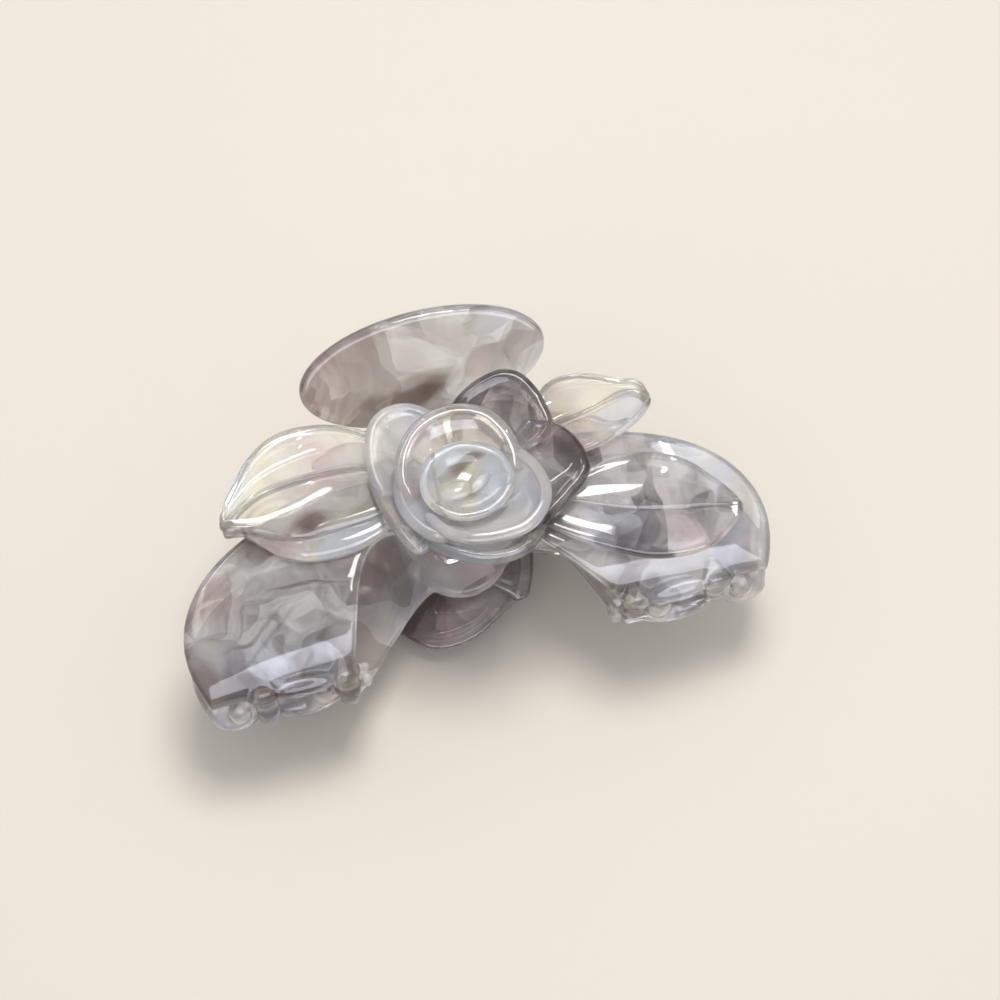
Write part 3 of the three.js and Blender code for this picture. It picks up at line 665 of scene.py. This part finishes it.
def marbled_resin(name, pale, deep, stain, tints=CLEAR_TINTS, transmission=0.78, contrast=1.0, balance=0.5,
                  stained=0.5, seed=0.0, spots=(), clouds=()):
    """Pearl resin: overlapping veils with a crisp edge each, satin streaks, brown stains and faint tints.

    pale and deep are the ends of the body colour, balance is where between them it rests, and stained is
    the share of the stain colour at the heart of a stain. Each spot darkens the colour towards the stain
    colour at a set place: its half-frame centre, size and turn about Z in degrees. Most spots are stains,
    but one is painted shade in the cup's hollow. Each cloud is given in the same way with the tone that
    rules in it; most clouds are calm places, but one is painted light over a shaded part of a wing.
    """
    material, tree, shader = new_material(name)
    link = tree.links.new
    shader.inputs["Roughness"].default_value = 0.045
    shader.inputs["IOR"].default_value = 1.5
    shader.inputs["Transmission Weight"].default_value = transmission

    place_node = node(tree, "ShaderNodeTexCoord")
    shift = node(tree, "ShaderNodeMapping")
    shift.inputs["Location"].default_value = (seed, seed * 0.7, seed * 1.3)
    shift.inputs["Scale"].default_value = (MARBLING_SCALE,) * 3
    link(place_node.outputs["Object"], shift.inputs["Vector"])
    shifted = shift.outputs["Vector"]

    def noise(vector, scale, detail=2.0, distortion=0.0):
        made = node(tree, "ShaderNodeTexNoise")
        made.inputs["Scale"].default_value = scale
        made.inputs["Detail"].default_value = detail
        made.inputs["Distortion"].default_value = distortion
        link(vector, made.inputs["Vector"])
        return made

    def fill(sockets, values):
        for socket, value in zip(sockets, values):
            if isinstance(value, (int, float, tuple)):
                socket.default_value = value
            else:
                link(value, socket)

    def maths(operation, *values):
        made = node(tree, "ShaderNodeMath", operation=operation)
        fill(made.inputs, values)
        return made.outputs["Value"]

    def vector_maths(operation, *values, output="Vector"):
        made = node(tree, "ShaderNodeVectorMath", operation=operation)
        fill(made.inputs, values)
        return made.outputs[output]

    def from_middle(value):
        return maths("SUBTRACT", value, 0.5)

    def ranged(value, low, high):
        """0 at low and 1 at high."""
        made = node(tree, "ShaderNodeMapRange")
        made.inputs["From Min"].default_value, made.inputs["From Max"].default_value = low, high
        link(value, made.inputs["Value"])
        return made.outputs["Result"]

    wander = noise(shifted, 0.7)
    bent = vector_maths("ADD", shifted, vector_maths("MULTIPLY", wander.outputs["Color"], (WANDER,) * 3))

    def veil(scale, offset):
        """A slope with its own direction in every cell, and streaks that run along it."""
        offset_place = vector_maths("ADD", bent, (offset, offset * 0.5, -offset))
        moved = vector_maths("MULTIPLY", offset_place, (scale,) * 3)
        cells = node(tree, "ShaderNodeTexVoronoi")
        cells.inputs["Scale"].default_value = 1.0
        link(moved, cells.inputs["Vector"])
        lean = vector_maths("NORMALIZE", vector_maths("SUBTRACT", cells.outputs["Color"], (0.5,) * 3))
        away = vector_maths("SUBTRACT", moved, cells.outputs["Position"])
        slope = vector_maths("DOT_PRODUCT", away, lean, output="Value")
        skew = vector_maths("CROSS_PRODUCT", lean, (0.3, 0.5, 0.8))
        streak = node(tree, "ShaderNodeTexNoise", noise_dimensions="1D")
        streak.inputs["Scale"].default_value = STREAK_SCALE
        link(vector_maths("DOT_PRODUCT", away, skew, output="Value"), streak.inputs["W"])
        return slope, from_middle(streak.outputs["Fac"])

    frayed = vector_maths("SUBTRACT", wander.outputs["Color"], (0.5,) * 3)
    ragged_place = vector_maths("ADD", place_node.outputs["Object"],
                                vector_maths("MULTIPLY", frayed, (FRAYING,) * 3))

    def blot(centre, size, turn, heart):
        """0 outside an ellipsoid at a set place, 1 within heart times its size, with a ragged outline."""
        here = tuple(float(c) for c in to_row(np.array(centre, float), "front"))
        turned = node(tree, "ShaderNodeVectorRotate", rotation_type="Z_AXIS", invert=True)
        turned.inputs["Angle"].default_value = math.radians(turn)
        link(vector_maths("SUBTRACT", ragged_place, here), turned.inputs["Vector"])
        scaled = vector_maths("DIVIDE", turned.outputs["Vector"], tuple(c * MM for c in size))
        return ranged(vector_maths("LENGTH", scaled, output="Value"), 1.0, heart)

    drift = from_middle(noise(bent, 0.5, 3.0, 0.5).outputs["Fac"])
    tone = maths("MULTIPLY", drift, DRIFT_WEIGHT * contrast)
    for scale, offset, slope_weight, streak_weight in VEILS:
        slope, streak = veil(scale, offset)
        tone = maths("ADD", tone, maths("MULTIPLY", slope, slope_weight * contrast))
        tone = maths("ADD", tone, maths("MULTIPLY", streak, streak_weight * contrast))
    tone = maths("ADD", tone, balance)
    # Clouds pull the tone towards their level; one of the front jaw's clouds is painted light over shade.
    for centre, size, turn, level in clouds:
        pull = maths("MULTIPLY", blot(centre, size, turn, 0.3), CLOUD_PULL)
        tone = maths("ADD", tone, maths("MULTIPLY", maths("SUBTRACT", level, tone), pull))
    body = node(tree, "ShaderNodeMix", data_type="RGBA")
    body.inputs["A"].default_value = (*deep, 1)
    body.inputs["B"].default_value = (*pale, 1)
    link(tone, body.inputs["Factor"])

    hues = node(tree, "ShaderNodeValToRGB")
    fill_ramp(hues.color_ramp, list(zip(TINT_STEPS, tints)))
    link(noise(bent, 0.9, 1.0).outputs["Fac"], hues.inputs["Fac"])
    tinted = node(tree, "ShaderNodeMix", data_type="RGBA", blend_type="MULTIPLY")
    tinted.inputs["Factor"].default_value = 1.0
    link(body.outputs["Result"], tinted.inputs["A"])
    link(hues.outputs["Color"], tinted.inputs["B"])

    patch = ranged(noise(bent, 0.55, 3.0, 0.8).outputs["Fac"], *PATCH_RANGE)
    thread = maths("ABSOLUTE", maths("SUBTRACT", noise(shifted, 0.28, 0.0).outputs["Fac"], CREASE_MIDDLE))
    kept = ranged(wander.outputs["Fac"], *CREASE_RANGE)
    crease = maths("MULTIPLY", ranged(thread, CREASE_HALF_WIDTH, 0.0), kept)
    marks = maths("MULTIPLY", maths("MAXIMUM", patch, crease), stained)
    # Spots darken towards the stain colour; the front cup's spot is painted shade in its hollow.
    for centre, size, turn in spots:
        marks = maths("MAXIMUM", marks, maths("MULTIPLY", blot(centre, size, turn, 0.55), SPOT_STRENGTH))
    finished = node(tree, "ShaderNodeMix", data_type="RGBA")
    finished.inputs["B"].default_value = (*stain, 1)
    link(tinted.outputs["Result"], finished.inputs["A"])
    link(marks, finished.inputs["Factor"])
    link(finished.outputs["Result"], shader.inputs["Base Color"])

    bump = node(tree, "ShaderNodeBump")
    bump.inputs["Strength"].default_value = 0.35
    bump.inputs["Distance"].default_value = 0.0006
    link(noise(shifted, 1.3, 1.0).outputs["Fac"], bump.inputs["Height"])
    link(bump.outputs["Normal"], shader.inputs["Normal"])
    return material


def two_tones(tree, shader, scale, detail, first, second):
    """Colours the shader with clouds between two tones and gives the clouds."""
    place_node = node(tree, "ShaderNodeTexCoord")
    cloud = node(tree, "ShaderNodeTexNoise")
    cloud.inputs["Scale"].default_value = scale
    cloud.inputs["Detail"].default_value = detail
    tree.links.new(place_node.outputs["Object"], cloud.inputs["Vector"])
    shade = node(tree, "ShaderNodeMix", data_type="RGBA")
    shade.inputs["A"].default_value = (*first, 1)
    shade.inputs["B"].default_value = (*second, 1)
    tree.links.new(cloud.outputs["Fac"], shade.inputs["Factor"])
    tree.links.new(shade.outputs["Result"], shader.inputs["Base Color"])
    return cloud.outputs["Fac"]


def plated_steel():
    material, tree, shader = new_material("plated_steel")
    shader.inputs["Metallic"].default_value = 1.0
    grain = two_tones(tree, shader, 2600, 2, (0.50, 0.50, 0.51), (0.66, 0.66, 0.67))
    spread = node(tree, "ShaderNodeMapRange")
    spread.inputs["To Min"].default_value = 0.2
    spread.inputs["To Max"].default_value = 0.36
    tree.links.new(grain, spread.inputs["Value"])
    tree.links.new(spread.outputs["Result"], shader.inputs["Roughness"])
    return material


def floor_paper():
    material, tree, shader = new_material("floor_paper")
    shader.inputs["Roughness"].default_value = 0.9
    shader.inputs["Specular IOR Level"].default_value = 0.1
    two_tones(tree, shader, 5, 3, (0.775, 0.728, 0.664), (0.805, 0.762, 0.698))
    return material


# ---- Camera, light and floor, in metres ----

CAMERA_AZIMUTH, CAMERA_ELEVATION = math.radians(-15), math.radians(70)
CAMERA_DISTANCE, CAMERA_LENS = 0.62, 122
CAMERA_AIM = Vector(HINGE) + Vector((0.0072, -0.0144, 0.0186))
FLOOR_REACH, FLOOR_DROP = 14, 0.0002
# The sky from the horizon up to the top, as the sine of the elevation and a colour.
SKY = ((0.0, (0.10, 0.095, 0.09)), (0.45, (0.46, 0.455, 0.45)), (0.9, (0.97, 0.98, 1.0)))
SKY_STRENGTH = 0.86
# Each light: its name, place, size, power in watts and colour. Glints only show as reflections.
LIGHT_AIM, WHITE = (0, 0, 0.02), (1, 1, 1)
KEY_LIGHT = ("key", (0.09, 0.12, 0.80), (0.24, 0.24), 3.5, (1.0, 0.965, 0.91))
SPARKLE_PLACES = ((0.34, -0.16, 0.60), (0.10, 0.46, 0.60), (-0.10, 0.62, 0.60), (0.30, 0.22, 0.60))
GLINTS = (("low_back", (-0.12, 0.80, 0.24), (0.9, 0.2), 2.4, (0.90, 0.90, 1.0)),
          ("window", (0.02, -0.53, 0.58), (0.85, 0.37), 5.4, (0.87, 0.88, 1.0)),
          ("back_strip", (-0.24, 0.40, 0.62), (0.42, 0.03), 0.6, WHITE),
          *(("sparkle", place_of_one, (0.012, 0.012), 0.10, WHITE) for place_of_one in SPARKLE_PLACES))


def aim(thing, target):
    thing.rotation_euler = (Vector(target) - thing.location).to_track_quat("-Z", "Y").to_euler()


def make_camera():
    data = bpy.data.cameras.new("camera")
    data.lens = CAMERA_LENS
    camera = bpy.data.objects.new("camera", data)
    bpy.context.scene.collection.objects.link(camera)
    away = Vector((math.sin(CAMERA_AZIMUTH) * math.cos(CAMERA_ELEVATION),
                   -math.cos(CAMERA_AZIMUTH) * math.cos(CAMERA_ELEVATION), math.sin(CAMERA_ELEVATION)))
    camera.location = CAMERA_AIM + away * CAMERA_DISTANCE
    aim(camera, CAMERA_AIM)
    bpy.context.scene.camera = camera


def area_light(name, location, size, energy, colour):
    data = bpy.data.lights.new(name, "AREA")
    data.shape = "RECTANGLE"
    data.size, data.size_y = size
    data.energy = energy
    data.color = colour
    light = bpy.data.objects.new(name, data)
    bpy.context.scene.collection.objects.link(light)
    light.location = location
    aim(light, LIGHT_AIM)
    return light


def studio_world():
    """Pale overhead, dimmer towards the horizon, so that polished rims show dark and bright lines."""
    world = bpy.data.worlds.new("studio")
    world.use_nodes = True
    tree = world.node_tree
    place_node = node(tree, "ShaderNodeTexCoord")
    split = node(tree, "ShaderNodeSeparateXYZ")
    tree.links.new(place_node.outputs["Generated"], split.inputs["Vector"])
    shade = node(tree, "ShaderNodeValToRGB")
    fill_ramp(shade.color_ramp, SKY)
    tree.links.new(split.outputs["Z"], shade.inputs["Fac"])
    tree.links.new(shade.outputs["Color"], tree.nodes["Background"].inputs["Color"])
    tree.nodes["Background"].inputs["Strength"].default_value = SKY_STRENGTH
    return world


def make_stage():
    corners = [(x * FLOOR_REACH, y * FLOOR_REACH, 0) for x, y in ((-1, -1), (1, -1), (1, 1), (-1, 1))]
    floor = new_object("floor", corners, [(0, 1, 2, 3)])
    floor.location.z = -FLOOR_DROP
    floor.data.materials.append(floor_paper())
    bpy.context.scene.world = studio_world()
    bpy.context.scene.view_settings.view_transform = "Standard"
    area_light(*KEY_LIGHT)
    for row in GLINTS:
        glint = area_light(*row)
        glint.visible_diffuse = False
        glint.visible_camera = False


# ---- Assembly ----

make_camera()
make_stage()

# Dark spots and clouds of tone at set places of the front half, as marbled_resin takes them.
# The first jaw spot darkens a brown band across the lower part of the thumb tab, near the hinge.
JAW_SPOTS = (((-4.0, 11.4, 18.4), (9.5, 3.2, 4.2), 0), ((-40.5, -32.6, 8.5), (7.0, 2.4, 4.5), 0),
             ((52.8, -33.2, 6.0), (2.5, 1.4, 2.5), 0), ((-52.0, -31.0, 7.0), (1.2, 1.8, 2.5), 0),
             ((-24.0, -10.5, 14.0), (3.0, 0.9, 2.0), 0), ((-40.0, -24.5, 12.0), (8.0, 0.6, 5.0), 24),
             ((-30.5, -19.5, 13.0), (9.0, 0.45, 5.0), -6), ((26.0, -34.0, 8.0), (4.0, 1.2, 3.0), 0))
JAW_CLOUDS_AND_PAINTED_LIGHT = (((50.0, -20.0, 11.0), (17.0, 13.0, 9.0), 0, 0.85),
              # Painted light: this cloud lightens the right wing's lower part, which lies in shade over the
              # rear jaw.
              ((29.0, -30.0, 10.0), (9.0, 7.0, 6.0), 0, 1.3),
              ((0.0, 15.0, 22.0), (27.0, 12.0, 12.0), 0, 0.42),
              ((-50.0, -27.0, 9.0), (9.0, 8.0, 8.0), 0, 0.7))
LEAF_SPOTS = (((-27.4, -8.6, 15.6), (5.2, 3.6, 4.0), 0),)
# Painted shade: a brownish darkening inside the cup's hollow, where shade falls.
CUP_PAINTED_SHADE = (((3.0, -9.4, 24.4), (4.6, 1.6, 1.6), 0),)
MILKY_CLOUDS = (((5.0, -22.5, 24.5), (10.0, 4.0, 4.0), 0, 1.1),)
DUSKY_CLOUDS = (((14.9, 3.5, 22.5), (7.0, 5.0, 4.0), 0, -0.2),)

BROWN, UMBER = (0.24, 0.16, 0.13), (0.15, 0.10, 0.09)
STEEL = plated_steel()
PEG_RESIN = marbled_resin("peg_resin", (0.93, 0.92, 0.92), (0.80, 0.78, 0.78), BROWN, stained=0.0,
                          transmission=0.9)
FRONT_MILKY = marbled_resin("front_milky_petals", (1.0, 1.0, 0.99), (0.76, 0.73, 0.71), BROWN,
                            transmission=0.66, contrast=1.1, balance=0.75, stained=0.3, seed=2.0,
                            clouds=MILKY_CLOUDS)
FRONT_SMOKY = marbled_resin("front_smoky_petals", (0.90, 0.89, 0.87), (0.40, 0.36, 0.34), UMBER,
                            transmission=0.80, contrast=1.2, balance=0.6, stained=0.4, seed=14.0)
FRONT_DUSKY = marbled_resin("front_dusky_petals", (0.74, 0.70, 0.69), (0.17, 0.145, 0.15), UMBER,
                            contrast=1.6, balance=0.36, seed=4.0, clouds=DUSKY_CLOUDS)
FRONT_CLEAR = marbled_resin("front_clear_petals", (1.0, 0.99, 0.98), (0.84, 0.79, 0.77), BROWN, PEARL_TINTS,
                            transmission=0.80, contrast=0.9, balance=0.75, stained=0.15, seed=6.0)
FRONT_CUP = marbled_resin("front_cup", (1.0, 1.0, 1.0), (0.84, 0.80, 0.78), BROWN, PEARL_TINTS,
                          transmission=0.72, contrast=1.0, balance=0.85, stained=0.3, seed=6.5,
                          spots=CUP_PAINTED_SHADE)
REAR_DUSKY = marbled_resin("rear_dusky_petals", (0.86, 0.81, 0.79), (0.42, 0.37, 0.36), UMBER, seed=3.0)
REAR_ROSY = marbled_resin("rear_rosy_petals", (0.96, 0.89, 0.88), (0.62, 0.54, 0.54), UMBER, contrast=0.9,
                          seed=8.0)
LOOKS = {
    "front": {
        "jaw": marbled_resin("front_jaw_resin", (0.97, 0.98, 1.0), (0.38, 0.34, 0.33), UMBER, contrast=2.2,
                             balance=0.62, seed=0.4, spots=JAW_SPOTS, clouds=JAW_CLOUDS_AND_PAINTED_LIGHT),
        "left_petal": FRONT_MILKY, "lower_left_petal": FRONT_SMOKY, "bottom_petal": FRONT_SMOKY,
        "top_petal": FRONT_DUSKY, "right_petal": FRONT_DUSKY, "hub": FRONT_CLEAR,
        "ring_petal": FRONT_CLEAR, "crescent_petal": FRONT_MILKY, "curl_petal": FRONT_MILKY,
        "cup": FRONT_CUP,
        "broad_leaf": marbled_resin("front_broad_leaf", (1.0, 0.99, 0.97), (0.62, 0.57, 0.54), BROWN,
                                    PEARL_TINTS, contrast=1.2, balance=0.85, seed=5.0, spots=LEAF_SPOTS),
        "short_leaf": marbled_resin("front_short_leaf", (0.99, 0.96, 0.94), (0.48, 0.43, 0.42), BROWN,
                                    PEARL_TINTS, contrast=1.4, balance=0.65, seed=9.0),
        "long_leaf": marbled_resin("front_long_leaf", (0.86, 0.85, 0.86), (0.26, 0.24, 0.25), BROWN,
                                   contrast=1.6, balance=0.55, seed=11.0),
    },
    "rear": {
        # Painted light: the rear jaw's body colours are paler than the front jaw's, to make up for the
        # shade it lies in under the front half.
        "jaw": marbled_resin("rear_jaw_resin", (1.0, 0.99, 0.99), (0.64, 0.59, 0.57), UMBER, contrast=2.2,
                             balance=0.85, transmission=0.66, seed=1.0),
        "left_petal": REAR_DUSKY, "lower_left_petal": REAR_DUSKY, "bottom_petal": REAR_DUSKY,
        "top_petal": REAR_DUSKY, "right_petal": REAR_DUSKY, "hub": REAR_ROSY,
        "ring_petal": REAR_ROSY, "crescent_petal": REAR_ROSY, "curl_petal": REAR_DUSKY, "cup": REAR_ROSY,
        "broad_leaf": marbled_resin("rear_broad_leaf", (0.90, 0.88, 0.87), (0.42, 0.38, 0.37), BROWN,
                                    seed=7.0),
        "short_leaf": marbled_resin("rear_short_leaf", (0.90, 0.88, 0.87), (0.42, 0.38, 0.37), BROWN,
                                    seed=12.0),
        "long_leaf": marbled_resin("rear_long_leaf", (0.88, 0.87, 0.87), (0.38, 0.36, 0.36), BROWN,
                                   seed=13.0),
    },
}

for which, look in LOOKS.items():
    jaw(which, look["jaw"])
    petal_whorl(which, "outer_petals", OUTER_PETALS, OUTER_FLOOR, OUTER_FOOT, look)
    petal_whorl(which, "middle_petals", MIDDLE_PETALS, MIDDLE_FLOOR, MIDDLE_FOOT, look)
    cup(which, look["cup"])
    bud(which, look["cup"])
    rose_peg(which, PEG_RESIN)
    for leaf_name in LEAVES:
        leaf(which, leaf_name, look[leaf_name])
hinge_pin(STEEL)
torsion_spring(STEEL)
